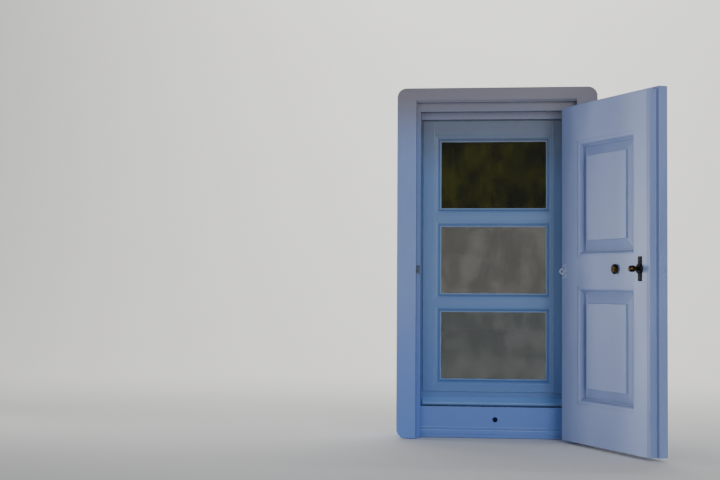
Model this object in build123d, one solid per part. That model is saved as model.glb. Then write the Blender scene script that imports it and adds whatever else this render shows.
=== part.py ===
"""Small casement window with one outward shutter leaf, painted wood, hardware in brass and iron.

Millimetres. +Z is up, the street is towards -Y and the room towards +Y, +X is to the right seen
from the street. The origin is on the underside of the frame, half way along its width and half
way through the depth of its jambs. The shutter is drawn shut, then swung open to the angle at
which it rests; the sash rests shut.
"""

import os
from math import cos, radians, sin

from build123d import *

# Frame
FRAME_W = 423.0
FRAME_H = 746.0
FRAME_D = 80.0
CASING_T = 20.0
CASING_LAP = 8.0
LOCK_CASING_W = 41.0
HINGE_CASING_W = 43.7
HEAD_CASING_H = 30.0
CASING_CORNER_R = 20.0
CASING_ARRIS_R = 1.5
HEAD_CHAMFER = 5.0
LOCK_SEAT_W = 8.0
HEAD_SEAT_H = 18.0
STOP_T = 15.0
REBATE_W = 7.0
HINGE_STOP_W = 20.3
HEAD_STOP_H = 14.0
SILL_H = 66.0
SILL_SET = 18.0
SILL_BAND_H = 22.0
SILL_BAND_FOOT = 8.0
SILL_BAND_T = 3.0
DRAIN_R = 5.5
DRAIN_Z = 39.0
DRAIN_X = -3.0
CHANNEL_W = 9.0
CHANNEL_BOTTOM = 31.0
FIXING_R = 4.0
FIXING_HEAD_R = 8.0
FIXING_INSET = 148.0
FIXING_DEPTH = 18.0

# Sash
SASH_SET = 40.0
SASH_LIP = 6.5
SASH_LIP_SET = 4.0
SASH_GAP = 3.0
STILE_FLAT = 25.0
TOP_FLAT = 30.0
BOTTOM_FLAT = 40.5
BAR_FLAT = 12.5
MOULD_W = 14.0
MOULD_DEPTH = 14.0
MOULD_DROP = 10.0
MOULD_LAND = 3.0
MOULD_QUIRK = 1.5
GLASS_T = 4.0
GLASS_COVER = 7.5
GLASS_REBATE = 9.0
PUTTY_D = 12.0
WEATHER_H = 28.0
WEATHER_CUT = 6.0
WEATHER_BAR_H = 15.0
WEATHER_NOSE = 4.0

# Shutter leaf
LOCK_GAP = 2.0
HINGE_GAP = 3.6
LEAF_T = 33.5
LIP_T = 19.0
LOCK_LIP = 10.0
TOP_LIP = 5.0
LEAF_BOTTOM = 5.5
LEAF_TOP_GAP = 1.0
LEAF_STILE = 62.0
LEAF_TOP_RAIL = 74.0
LEAF_LOCK_RAIL = 61.5
LEAF_BOTTOM_RAIL = 80.0
LEAF_ARRIS_R = 1.2
PANEL_MOULD_W = 12.0
PANEL_MOULD_DROP = 8.5
PANEL_MOULD_LAND = 1.5
PANEL_TONGUE_T = 9.0
PANEL_PLAY = 2.0
PANEL_MARGIN = 33.0
PANEL_BEVEL_T = 22.0
PANEL_STEP = 3.0
OPEN_ANGLE = 118.0

# Joinery
TENON_T = 12.0
TENON_L = 16.0
STUB_TENON_L = 7.0
TENON_SHOULDER = 6.0
TENON_FIT = 0.1

# Hinges
KNUCKLE_R = 4.2
KNUCKLE_ROOM = 0.6
KNUCKLE_END_GAP = 0.4
PIN_R = 2.0
PIN_FIT = 0.05
PIN_TAIL = 2.0
HINGE_PLATE_T = 1.6
SHUTTER_HINGE_L = 66.0
SHUTTER_HINGE_W = 30.0
SHUTTER_HINGE_INSET = 110.0
SHUTTER_AXIS_SET = 1.5
SASH_HINGE_L = 54.0
SASH_HINGE_W = 26.0
SASH_HINGE_INSET = 90.0
SASH_AXIS_SET = 4.8
SASH_HINGE_GAP = 3.4

# Screws
SCREW_R = 1.6
SCREW_HEAD_R = 3.1
SCREW_HEAD_H = 1.5
SCREW_L = 14.0
SCREW_FIT = 0.05
SLOT_W = 0.8
SLOT_D = 0.7

# Latch and pulls
LATCH_UP = 35.3
BACKSET = 41.4
SPINDLE_W = 4.5
CASE_T = 12.0
CASE_WALL = 1.2
CASE_L = 52.0
CASE_SET = 3.5
FOREND_T = 1.5
FOREND_W = 16.0
FOREND_H = 56.0
BOLT_H = 12.0
BOLT_TAIL_H = 20.0
BOLT_THROW = 9.0
BOLT_FIT = 0.3
HUB_R = 4.5
CRANK_PIN_R = 1.5
CRANK_FIT = 0.4
CRANK_W = 2.4
PLATE_H = 47.0
PLATE_W = 12.0
PLATE_T = 2.0
COLLAR_R = 9.5
COLLAR_T = 3.0
NECK_R = 4.0
NECK_FIT = 0.08
KNOB_R = 6.3
KNOB_START = 12.8
KNOB_END = 24.8
PULL_R = 10.0
PULL_D = 7.5
PULL_BACKSET = 208.0
PULL_SCREW_L = 12.0
EYE_BACKSET = 12.0
EYE_UP = 32.0
EYE_PLATE_W = 14.0
EYE_PLATE_H = 31.0
EYE_R = 4.6
EYE_WIRE_R = 1.6
KEEPER_H = 18.0
KEEPER_T = 1.2
KEEPER_HOLE_H = 13.0
KEEPER_POCKET = 12.0

# Room side fittings
BUTTON_L = 42.0
BUTTON_W = 13.0
BUTTON_T = 4.0
BUTTON_LIFT = 0.5
BUTTON_IN = 12.0
BUTTON_PIVOT_R = 2.4
BUTTON_HEAD_R = 4.5
SASH_PULL_R = 9.0
SASH_PULL_D = 20.0
SASH_PULL_DROP = 43.0
SASH_PULL_FOOT_R = 6.5
SASH_PULL_NECK_R = 4.2
SASH_PULL_FOOT_D = 3.0
SASH_PULL_HEAD_D = 8.0

# Places that follow from the sizes
X_LEFT = -FRAME_W / 2
X_RIGHT = FRAME_W / 2
X_LOCK = X_LEFT + LOCK_CASING_W
X_HINGE = X_RIGHT - HINGE_CASING_W
Y_SEAT = -FRAME_D / 2
Y_BACK = FRAME_D / 2
Y_FACE = Y_SEAT - CASING_T
Y_SASH = Y_SEAT + SASH_SET
Y_LIP = Y_SASH + SASH_LIP_SET
Y_STOP_BACK = Y_LIP - 1.0
Y_STOP = Y_STOP_BACK - STOP_T
Z_HEAD = FRAME_H - HEAD_CASING_H
Z_HEAD_SEAT = Z_HEAD - HEAD_SEAT_H
Z_FRAME_TOP = FRAME_H - CASING_LAP

X_STOP_LEFT = X_LOCK + LOCK_SEAT_W
X_STOP_RIGHT = X_HINGE - HINGE_STOP_W
X_SASH_LEFT = X_STOP_LEFT + SASH_GAP
X_SASH_RIGHT = X_STOP_RIGHT - SASH_GAP
SASH_W = X_SASH_RIGHT - X_SASH_LEFT
X_REBATE_LEFT = X_STOP_LEFT - REBATE_W
X_REBATE_RIGHT = X_SASH_RIGHT + SASH_LIP + SASH_HINGE_GAP
Z_STOP_BOTTOM = SILL_H
Z_SASH_BOTTOM = Z_STOP_BOTTOM + SASH_GAP
Z_STOP_TOP = Z_HEAD_SEAT - HEAD_STOP_H
Z_SASH_TOP = Z_STOP_TOP - SASH_GAP
SASH_FACE_H = Z_SASH_TOP - Z_SASH_BOTTOM
Z_REBATE_BOTTOM = Z_STOP_BOTTOM - REBATE_W
Z_REBATE_TOP = Z_STOP_TOP + REBATE_W

X_LEAF_FREE = X_LOCK + LOCK_GAP
X_LEAF_INNER = X_LEAF_FREE + LOCK_LIP
X_LEAF_HINGE = X_HINGE - HINGE_GAP
Y_LEAF_LIP = Y_FACE + LIP_T
Y_LEAF_IN = Y_FACE + LEAF_T
Z_LEAF_TOP = Z_HEAD_SEAT - LEAF_TOP_GAP
LEAF_H = Z_LEAF_TOP - LEAF_BOTTOM
Z_LEAF_LIP = Z_LEAF_TOP + TOP_LIP

SHUTTER_AXIS = (X_HINGE - HINGE_GAP / 2, Y_FACE - SHUTTER_AXIS_SET)
SASH_AXIS = (X_REBATE_RIGHT - SASH_HINGE_GAP / 2, Y_BACK + SASH_AXIS_SET)
HINGE_CLEAR = HINGE_GAP / 2 - HINGE_PLATE_T
SASH_HINGE_CLEAR = SASH_HINGE_GAP / 2 - HINGE_PLATE_T

PANE_H = (SASH_FACE_H - TOP_FLAT - BOTTOM_FLAT - 2 * BAR_FLAT - 6 * MOULD_W) / 3
PANE_W = SASH_W - 2 * (STILE_FLAT + MOULD_W)
PANE_X = (X_SASH_LEFT + X_SASH_RIGHT) / 2
Y_GLASS = Y_SASH + MOULD_DEPTH
PANE_PITCH = PANE_H + 2 * MOULD_W + BAR_FLAT
PANES = [Z_SASH_BOTTOM + BOTTOM_FLAT + MOULD_W + PANE_H / 2 + i * PANE_PITCH for i in range(3)]
BARS = [(PANES[i] + PANES[i + 1]) / 2 for i in range(2)]

Z_LOCK_RAIL = LEAF_BOTTOM + LEAF_BOTTOM_RAIL + (
    LEAF_H - LEAF_BOTTOM_RAIL - LEAF_LOCK_RAIL - LEAF_TOP_RAIL) / 2
RECESS_H = Z_LOCK_RAIL - LEAF_BOTTOM - LEAF_BOTTOM_RAIL
RECESS_LEFT = X_LEAF_FREE + LEAF_STILE
RECESS_RIGHT = X_LEAF_HINGE - LEAF_STILE
RECESS_W = RECESS_RIGHT - RECESS_LEFT
RECESS_X = (RECESS_LEFT + RECESS_RIGHT) / 2
RECESSES = [LEAF_BOTTOM + LEAF_BOTTOM_RAIL + RECESS_H / 2,
            Z_LOCK_RAIL + LEAF_LOCK_RAIL + RECESS_H / 2]
Y_LEAF_MID = Y_FACE + LEAF_T / 2

X_SPINDLE = X_LEAF_FREE + BACKSET
Z_LATCH = Z_LOCK_RAIL + LATCH_UP
Y_CASE = Y_FACE + CASE_SET + CASE_T / 2
X_PULL = X_LEAF_HINGE - PULL_BACKSET
X_EYE = X_LEAF_HINGE - EYE_BACKSET
Z_EYE = Z_LOCK_RAIL + EYE_UP
FIXING_Y = Y_SEAT + FIXING_DEPTH
FIXINGS = [FIXING_INSET, FRAME_H - FIXING_INSET]
Z_BUTTON = FRAME_H / 2
Z_SASH_PULL = Z_BUTTON - SASH_PULL_DROP


def block(x0, x1, y0, y1, z0, z1):
    """Box between two corners."""
    return Pos((x0 + x1) / 2, (y0 + y1) / 2, (z0 + z1) / 2) * Box(x1 - x0, y1 - y0, z1 - z0)


def rod(centre, radius, length, axis="z"):
    """Round bar about a centre, along one axis."""
    turn = {"x": Rot(0, 90, 0), "y": Rot(90, 0, 0), "z": Rot(0, 0, 0)}[axis]
    return Pos(*centre) * turn * Cylinder(radius, length)


def prism_x(points, x0, x1):
    """Solid along X from a section given as (y, z) points."""
    section = make_face(Plane.YZ * Polyline(*points, close=True))
    return Pos(x0, 0, 0) * extrude(section, x1 - x0, dir=(1, 0, 0))


def turned(profile, centre, facing):
    """Turned piece from (radius, height) points, its foot at centre and its height along facing."""
    outline = Polyline(*[(r, h) for r, h in profile], close=True)
    solid = revolve(Plane.XZ * make_face(outline), Axis.Z)
    return Plane(origin=centre, z_dir=facing) * solid


def screw_profile(grow):
    """Half section of a countersunk screw, head flush at height 0."""
    return [(0, grow), (SCREW_HEAD_R + grow, grow), (SCREW_HEAD_R + grow, 0),
            (SCREW_R + grow, -SCREW_HEAD_H), (SCREW_R + grow, -SCREW_L - grow), (0, -SCREW_L - grow)]


def screw(centre, facing):
    """Slotted countersunk screw whose head faces along facing."""
    profile = [p for i, p in enumerate(screw_profile(0.0)) if i != 1]
    slot = Plane(origin=centre, z_dir=facing) * Box(2.2 * SCREW_HEAD_R, SLOT_W, 2 * SLOT_D)
    return turned(profile, centre, facing) - slot


def screw_hole(centre, facing):
    """Cutter for one screw."""
    return turned(screw_profile(SCREW_FIT), centre, facing)


def swing_open(shape):
    """Turn a piece of the shut shutter to the angle at which it stands open."""
    x, y = SHUTTER_AXIS
    return Pos(x, y, 0) * Rot(0, 0, OPEN_ANGLE) * Pos(-x, -y, 0) * shape


def mitred(section, run, width):
    """Strip along X with mitred ends, from a (y, z) section: run long at z width, more at z 0."""
    outer, inner = run / 2 + width, run / 2
    bar = extrude(make_face(Plane.YZ * section), outer, both=True)
    mitre = make_face(Plane.XZ * Polyline((-outer, 0), (outer, 0), (inner, width), (-inner, width),
                                          close=True))
    return bar & extrude(mitre, LEAF_T, both=True)


def ovolo(width, depth, drop, land):
    """Section of a quirked ovolo: the flat's edge at z 0, the sight edge at z width."""
    arc_y, arc_z = drop - MOULD_QUIRK, width - land - MOULD_QUIRK
    middle = (drop - arc_y * cos(radians(45)), MOULD_QUIRK + arc_z * sin(radians(45)))
    return Polyline((drop, width - land), (drop, width), (depth, width), (depth, 0),
                    (MOULD_QUIRK, 0), (MOULD_QUIRK, MOULD_QUIRK)) + ThreePointArc(
        (MOULD_QUIRK, MOULD_QUIRK), middle, (drop, width - land))


def round_opening(section, width, centre_x, centre_z, wide, high, y, flip=False):
    """Four mitred strips round an opening of wide by high, keyed by the side they lie on."""
    sides = {"bottom": (0, wide, 0, -high / 2 - width), "top": (180, wide, 0, high / 2 + width),
             "left": (90, high, -wide / 2 - width, 0), "right": (-90, high, wide / 2 + width, 0)}
    placed = {}
    for side, (angle, run, dx, dz) in sides.items():
        piece = Rot(0, angle, 0) * mitred(section, run, width)
        if flip:
            piece = mirror(piece, Plane.XZ)
        placed[side] = Pos(centre_x + dx, y, centre_z + dz) * piece
    return placed


def tenon(x_shoulder, side, y_mid, z0, z1, fit=0.0, length=TENON_L):
    """Tenon that leaves a shoulder at x_shoulder towards side (-1 or 1); fit grows its mortise."""
    tip = x_shoulder + side * (length + fit)
    x0, x1 = sorted((x_shoulder, tip))
    half = TENON_T / 2 + fit
    return block(x0, x1, y_mid - half, y_mid + half, z0 - fit, z1 + fit)


def hinge(axis, z_mid, length, width, clear, into):
    """Butt hinge: fixed leaf on the +X side, moving leaf on the -X side, plates reaching into Y."""
    x, y = axis
    third = length / 3
    knuckle = rod((x, y, z_mid), KNUCKLE_R, length)
    bore = rod((x, y, z_mid), PIN_R, length + 2)
    far = y + into * width
    gap_y = y + into * (KNUCKLE_R + KNUCKLE_ROOM)
    fixed = knuckle + block(x + clear, x + clear + HINGE_PLATE_T, *sorted((y, far)),
                            z_mid - length / 2, z_mid + length / 2)
    half = third / 2 + KNUCKLE_END_GAP / 2
    room = KNUCKLE_R + KNUCKLE_ROOM
    fixed -= block(x - room, x + room, *sorted((y - into * room, gap_y)), z_mid - half, z_mid + half)
    half = third / 2 - KNUCKLE_END_GAP / 2
    moving = rod((x, y, z_mid), KNUCKLE_R, 2 * half)
    plate = block(x - clear - HINGE_PLATE_T, x - clear, *sorted((y, far)),
                  z_mid - length / 2, z_mid + length / 2)
    for side in (-1, 1):
        z_end = z_mid + side * (length / 2 + 1)
        plate -= block(x - room, x + room, *sorted((y - into * room, gap_y)),
                       *sorted((z_mid + side * half, z_end)))
    moving += plate
    moving -= rod((x, y, z_mid), PIN_R + PIN_FIT, length + 2)
    pin_l = length + PIN_TAIL
    pin = rod((x, y, z_mid), PIN_R, pin_l) + rod((x, y, z_mid + pin_l / 2), KNUCKLE_R - 1, PIN_TAIL)
    for step in (-1, 0, 1):
        z = z_mid + step * third
        fixed -= screw_hole((x + clear, screw_y(axis, width, into, step), z), (-1, 0, 0))
        moving -= screw_hole((x - clear, screw_y(axis, width, into, step), z), (1, 0, 0))
    return {"fixed": fixed - bore, "moving": moving, "pin": pin}


def screw_y(axis, width, into, step):
    """Screws of one plate stand in a shallow zigzag."""
    return axis[1] + into * width * (0.82 if step == 0 else 0.5)


def hinge_screws(axis, z_mid, length, width, clear, into, side, make):
    """The three screws, or their cutters, of one hinge plate: side 1 is the fixed one."""
    x, y = axis
    return [make((x + side * clear, screw_y(axis, width, into, step), z_mid + step * length / 3),
                 (-side, 0, 0)) for step in (-1, 0, 1)]


SHUTTER_HINGES = [LEAF_BOTTOM + SHUTTER_HINGE_INSET, Z_LEAF_TOP - SHUTTER_HINGE_INSET]
SASH_HINGES = [Z_SASH_BOTTOM + SASH_HINGE_INSET, Z_SASH_TOP - SASH_HINGE_INSET]
SHUTTER_HINGE = (SHUTTER_HINGE_L, SHUTTER_HINGE_W, HINGE_CLEAR, 1)
SASH_HINGE = (SASH_HINGE_L, SASH_HINGE_W, SASH_HINGE_CLEAR, -1)


def cut_all(shape, cutters):
    """Take each cutter that reaches the shape out of it."""
    for cutter in cutters:
        shape -= cutter
    return shape


def shutter_hinge_screws(side, make):
    return [s for z in SHUTTER_HINGES
            for s in hinge_screws(SHUTTER_AXIS, z, *SHUTTER_HINGE, side, make)]


def sash_hinge_screws(side, make):
    return [s for z in SASH_HINGES
            for s in hinge_screws(SASH_AXIS, z, *SASH_HINGE, side, make)]


def knuckle_recess():
    """Room for the half sunk knuckles of the shutter hinges."""
    return [rod((*SHUTTER_AXIS, z), KNUCKLE_R + KNUCKLE_ROOM,
                SHUTTER_HINGE_L + 2 * PIN_TAIL + 2)
            for z in SHUTTER_HINGES]


# Frame pieces

def casings():
    """Flat boards round the opening, the head one across the top of the other two."""
    boards = {}
    for name, x0, x1, outer in (("casing_left", X_LEFT, X_LOCK, 0),
                                ("casing_right", X_HINGE, X_RIGHT, -1)):
        board = block(x0, x1, Y_FACE, Y_SEAT, 0, Z_HEAD)
        foot = board.edges().filter_by(Axis.Y).group_by(Axis.Z)[0].sort_by(Axis.X)[outer]
        board = fillet(foot, CASING_CORNER_R)
        arrises = board.faces().sort_by(Axis.Y)[0].edges().filter_by(Axis.Z)
        boards[name] = fillet(arrises, CASING_ARRIS_R)
    head = block(X_LEFT, X_RIGHT, Y_FACE, Y_SEAT, Z_HEAD, FRAME_H)
    head = fillet(head.edges().filter_by(Axis.Y).group_by(Axis.Z)[-1], CASING_CORNER_R)
    top = head.faces().sort_by(Axis.Y)[0].edges().filter_by(Axis.X).sort_by(Axis.Z)[-1]
    head = fillet(top, CASING_ARRIS_R)
    head -= prism_x([(Y_FACE - 1, Z_HEAD - 1), (Y_FACE + HEAD_CHAMFER + 1, Z_HEAD - 1),
                     (Y_FACE - 1, Z_HEAD + HEAD_CHAMFER + 1)], X_LOCK, X_HINGE)
    boards["casing_head"] = head
    boards["casing_left"] = cut_all(boards["casing_left"], keeper_cutters())
    boards["casing_right"] = cut_all(boards["casing_right"],
                                     knuckle_recess() + shutter_hinge_screws(1, screw_hole))
    return boards


def fixing_holes(x0, x1, inner):
    """Two countersunk holes through a jamb for screws into the wall, heads at x = inner."""
    side = 1 if inner > x0 else -1
    sink = FIXING_HEAD_R - FIXING_R
    cutters = []
    for z in FIXINGS:
        cutters.append(rod(((x0 + x1) / 2, FIXING_Y, z), FIXING_R, abs(x1 - x0) + 2, "x"))
        cutters.append(turned([(0, 0.1), (FIXING_HEAD_R, 0.1), (FIXING_HEAD_R, 0), (FIXING_R, -sink),
                               (0, -sink)], (inner, FIXING_Y, z), (side, 0, 0)))
    return cutters


def jambs():
    """Two rebated uprights with the mortises of the head and the sill."""
    x_out = X_LEFT + CASING_LAP
    left = block(x_out, X_STOP_LEFT, Y_SEAT, Y_STOP_BACK, 0, Z_FRAME_TOP)
    left += block(x_out, X_REBATE_LEFT, Y_STOP_BACK, Y_BACK, 0, Z_FRAME_TOP)
    left = cut_all(left, frame_tenons(-1, TENON_FIT) + keeper_cutters()
                   + fixing_holes(x_out, X_STOP_LEFT, X_STOP_LEFT) + button_screw_holes())
    x_out = X_RIGHT - CASING_LAP
    right = block(X_HINGE, x_out, Y_SEAT, Y_STOP, 0, Z_FRAME_TOP)
    right += block(X_STOP_RIGHT, x_out, Y_STOP, Y_STOP_BACK, 0, Z_FRAME_TOP)
    right += block(X_REBATE_RIGHT, x_out, Y_STOP_BACK, Y_BACK, 0, Z_FRAME_TOP)
    right = cut_all(right, frame_tenons(1, TENON_FIT) + fixing_holes(x_out, X_HINGE, X_HINGE)
                    + shutter_hinge_screws(1, screw_hole) + sash_hinge_screws(1, screw_hole))
    return {"jamb_left": left, "jamb_right": right}


def frame_tenons(side, fit=0.0):
    """Tenons of the head and the sill into one jamb, or their mortises."""
    shoulder = X_REBATE_LEFT if side < 0 else X_REBATE_RIGHT
    y_mid = (Y_STOP_BACK + Y_BACK) / 2
    return [tenon(shoulder, side, y_mid, TENON_SHOULDER, Z_REBATE_BOTTOM - TENON_SHOULDER, fit),
            tenon(shoulder, side, y_mid, Z_REBATE_TOP + TENON_SHOULDER,
                  Z_FRAME_TOP - TENON_SHOULDER, fit)]


def frame_rails():
    """Head with its stop, and the sill with its rain channel, drain and lower band."""
    head = block(X_STOP_LEFT, X_HINGE, Y_SEAT, Y_STOP, Z_HEAD_SEAT, Z_FRAME_TOP)
    head += block(X_STOP_LEFT, X_STOP_RIGHT, Y_STOP, Y_STOP_BACK, Z_STOP_TOP, Z_FRAME_TOP)
    head += block(X_REBATE_LEFT, X_REBATE_RIGHT, Y_STOP_BACK, Y_BACK, Z_REBATE_TOP, Z_FRAME_TOP)
    head += frame_tenons(-1)[1] + frame_tenons(1)[1]
    y_front = Y_SEAT + SILL_SET
    sill = block(X_STOP_LEFT, X_HINGE, y_front, Y_STOP, 0, Z_STOP_BOTTOM)
    sill += block(X_STOP_LEFT, X_STOP_RIGHT, Y_STOP, Y_STOP_BACK, 0, Z_STOP_BOTTOM)
    sill += block(X_REBATE_LEFT, X_REBATE_RIGHT, Y_STOP_BACK, Y_BACK, 0, Z_REBATE_BOTTOM)
    sill += prism_x([(y_front, SILL_BAND_FOOT), (y_front - SILL_BAND_T, SILL_BAND_FOOT),
                     (y_front - SILL_BAND_T, SILL_BAND_H - 2 * SILL_BAND_T),
                     (y_front, SILL_BAND_H)], X_STOP_LEFT, X_HINGE)
    sill += frame_tenons(-1)[0] + frame_tenons(1)[0]
    y_channel = Y_STOP_BACK + 2
    sill -= block(X_SASH_LEFT, X_SASH_RIGHT, y_channel, y_channel + CHANNEL_W,
                  CHANNEL_BOTTOM, Z_REBATE_BOTTOM + 1)
    drain_l = y_channel + CHANNEL_W / 2 - y_front + 1
    sill -= rod((DRAIN_X, y_front - 1 + drain_l / 2, DRAIN_Z), DRAIN_R, drain_l, "y")
    return {"head": head, "sill": sill}


def keeper_plates(grow=0.0):
    """Angle plate let into the casing's edge and the seat behind it, round the bolt's hole."""
    half = KEEPER_H / 2 + grow
    reveal = block(X_LOCK - KEEPER_T - grow, X_LOCK + grow, Y_FACE + 2 - grow, Y_SEAT + KEEPER_T + grow,
                   Z_LATCH - half, Z_LATCH + half)
    seat = block(X_LOCK - KEEPER_T, X_STOP_LEFT - 1 + grow, Y_SEAT - grow, Y_SEAT + KEEPER_T + grow,
                 Z_LATCH - half, Z_LATCH + half)
    return reveal + seat


def bolt_pocket(deep):
    """Space that the thrown bolt enters."""
    half_y = (CASE_T - 2 * CASE_WALL) / 2 + 0.5
    return block(X_LOCK - deep, X_LOCK + 1, Y_CASE - half_y, Y_CASE + half_y,
                 Z_LATCH - KEEPER_HOLE_H / 2, Z_LATCH + KEEPER_HOLE_H / 2)


def keeper_cutters():
    return [keeper_plates(TENON_FIT), bolt_pocket(KEEPER_POCKET)]


def latch_keeper():
    return keeper_plates() - bolt_pocket(KEEPER_POCKET)


def button_screw_holes():
    """Hole for the turn button's screw in the left jamb."""
    return [rod((X_REBATE_LEFT - BUTTON_IN, Y_BACK, Z_BUTTON), SCREW_R + SCREW_FIT, 2 * SCREW_L, "y")]


def turn_button():
    """Round ended button that turns over the sash's edge, and the shouldered screw it turns on."""
    x = X_REBATE_LEFT - BUTTON_IN
    y = Y_BACK + BUTTON_LIFT
    button = Pos(x, y, Z_BUTTON) * extrude(
        Plane.XZ * SlotOverall(BUTTON_L, BUTTON_W, rotation=90), BUTTON_T, dir=(0, 1, 0))
    button = fillet(button.faces().sort_by(Axis.Y)[-1].edges(), BUTTON_T / 4)
    button -= rod((x, y, Z_BUTTON), BUTTON_PIVOT_R + PIN_FIT, 4 * BUTTON_T, "y")
    head = BUTTON_LIFT + BUTTON_T + BUTTON_LIFT
    pivot = turned([(0, -SCREW_L), (SCREW_R, -SCREW_L), (SCREW_R, 0), (BUTTON_PIVOT_R, 0),
                    (BUTTON_PIVOT_R, head), (BUTTON_HEAD_R, head), (BUTTON_HEAD_R, head + 0.8),
                    (BUTTON_HEAD_R - 1.5, head + 2), (0, head + 2)],
                   (x, Y_BACK, Z_BUTTON), (0, 1, 0))
    return button, pivot


# Sash pieces

def sash_member(x0, x1, z0, z1, back_x, back_z, lip):
    """Front block over the flat, and the deeper block behind it that carries the glass.

    back_x and back_z are what the deep block adds at (low, high) ends; lip is where the rebated
    lip stands out, as (left, right, bottom, top) lengths.
    """
    left, right, bottom, top = lip
    body = block(x0, x1, Y_SASH, Y_LIP, z0, z1)
    body += block(x0 - left, x1 + right, Y_LIP, Y_GLASS, z0 - bottom, z1 + top)
    body += block(x0 - left - back_x[0], x1 + right + back_x[1], Y_GLASS, Y_BACK,
                  z0 - bottom - back_z[0], z1 + top + back_z[1])
    return body


def sash_wood():
    """Stiles, rails and bars, each with its own length of the moulding round the panes."""
    section = ovolo(MOULD_W, MOULD_DEPTH, MOULD_DROP, MOULD_LAND)
    rings = [round_opening(section, MOULD_W, PANE_X, z, PANE_W, PANE_H, Y_SASH) for z in PANES]
    deep = MOULD_W - GLASS_REBATE
    left, right = X_SASH_LEFT + STILE_FLAT, X_SASH_RIGHT - STILE_FLAT
    y_tenon = (Y_GLASS + Y_BACK) / 2
    wood = {
        "sash_stile_left": sash_member(X_SASH_LEFT, left, Z_SASH_BOTTOM, Z_SASH_TOP, (0, deep),
                                       (0, 0), (SASH_LIP, 0, SASH_LIP, SASH_LIP)),
        "sash_stile_right": sash_member(right, X_SASH_RIGHT, Z_SASH_BOTTOM, Z_SASH_TOP, (deep, 0),
                                        (0, 0), (0, SASH_LIP, SASH_LIP, SASH_LIP)),
        "sash_top_rail": sash_member(left, right, Z_SASH_TOP - TOP_FLAT, Z_SASH_TOP,
                                     (-deep, -deep), (deep, 0), (0, 0, 0, SASH_LIP)),
        "sash_bottom_rail": sash_member(left, right, Z_SASH_BOTTOM, Z_SASH_BOTTOM + BOTTOM_FLAT,
                                        (-deep, -deep), (0, deep), (0, 0, SASH_LIP, 0)),
    }
    for name, z in zip(("glazing_bar_lower", "glazing_bar_upper"), BARS):
        wood[name] = sash_member(left, right, z - BAR_FLAT / 2, z + BAR_FLAT / 2,
                                 (-deep, -deep), (deep, deep), (0, 0, 0, 0))
    for ring in rings:
        wood["sash_stile_left"] += ring["left"]
        wood["sash_stile_right"] += ring["right"]
    wood["sash_bottom_rail"] += rings[0]["bottom"]
    wood["glazing_bar_lower"] += rings[0]["top"] + rings[1]["bottom"]
    wood["glazing_bar_upper"] += rings[1]["top"] + rings[2]["bottom"]
    wood["sash_top_rail"] += rings[2]["top"]
    cross = {
        "sash_bottom_rail": (Z_SASH_BOTTOM, Z_SASH_BOTTOM + BOTTOM_FLAT - TENON_SHOULDER),
        "glazing_bar_lower": (BARS[0] - BAR_FLAT / 2, BARS[0] + BAR_FLAT / 2),
        "glazing_bar_upper": (BARS[1] - BAR_FLAT / 2, BARS[1] + BAR_FLAT / 2),
        "sash_top_rail": (Z_SASH_TOP - TOP_FLAT + TENON_SHOULDER, Z_SASH_TOP),
    }
    for name, (z0, z1) in cross.items():
        for stile, shoulder, side in (("sash_stile_left", left + deep, -1),
                                      ("sash_stile_right", right - deep, 1)):
            wood[name] += tenon(shoulder, side, y_tenon, z0, z1)
            wood[stile] -= tenon(shoulder, side, y_tenon, z0, z1, TENON_FIT)
    for name in ("sash_stile_left", "sash_stile_right", "sash_bottom_rail"):
        wood[name] -= block(X_SASH_LEFT, X_SASH_RIGHT, Y_SASH - 1, Y_SASH + WEATHER_CUT,
                            Z_SASH_BOTTOM, Z_SASH_BOTTOM + WEATHER_H)
    wood["sash_stile_right"] = cut_all(wood["sash_stile_right"], sash_hinge_screws(-1, screw_hole))
    return wood


def weather_bar():
    """Sloped bar along the foot of the sash that throws the rain clear, grooved underneath."""
    back, nose = Y_SASH + WEATHER_CUT, Y_SASH - WEATHER_NOSE
    top = Z_SASH_BOTTOM + WEATHER_BAR_H
    return prism_x([(back, Z_SASH_BOTTOM), (nose + 5, Z_SASH_BOTTOM), (nose + 4, Z_SASH_BOTTOM + 1.5),
                    (nose + 2, Z_SASH_BOTTOM + 1.5), (nose + 1.5, Z_SASH_BOTTOM),
                    (nose, Z_SASH_BOTTOM), (nose, Z_SASH_BOTTOM + WEATHER_NOSE), (back, top)],
                   X_SASH_LEFT, X_SASH_RIGHT)


def glazing():
    """Three panes bedded behind the moulding, each held by a ring of putty on the room side."""
    pieces = {}
    putty_w = GLASS_REBATE - 0.5
    section = Polyline((0, 0), (0, putty_w), (PUTTY_D, 0), close=True)
    for name, z in zip(("lower", "middle", "upper"), PANES):
        half_w, half_h = PANE_W / 2 + GLASS_COVER, PANE_H / 2 + GLASS_COVER
        pieces[f"pane_{name}"] = block(PANE_X - half_w, PANE_X + half_w, Y_GLASS, Y_GLASS + GLASS_T,
                                       z - half_h, z + half_h)
        extra = 2 * (GLASS_REBATE - putty_w)
        strips = round_opening(section, putty_w, PANE_X, z, PANE_W + extra, PANE_H + extra,
                               Y_GLASS + GLASS_T)
        pieces[f"putty_{name}"] = (strips["bottom"] + strips["top"] + strips["left"]
                                   + strips["right"])
    return pieces


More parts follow.
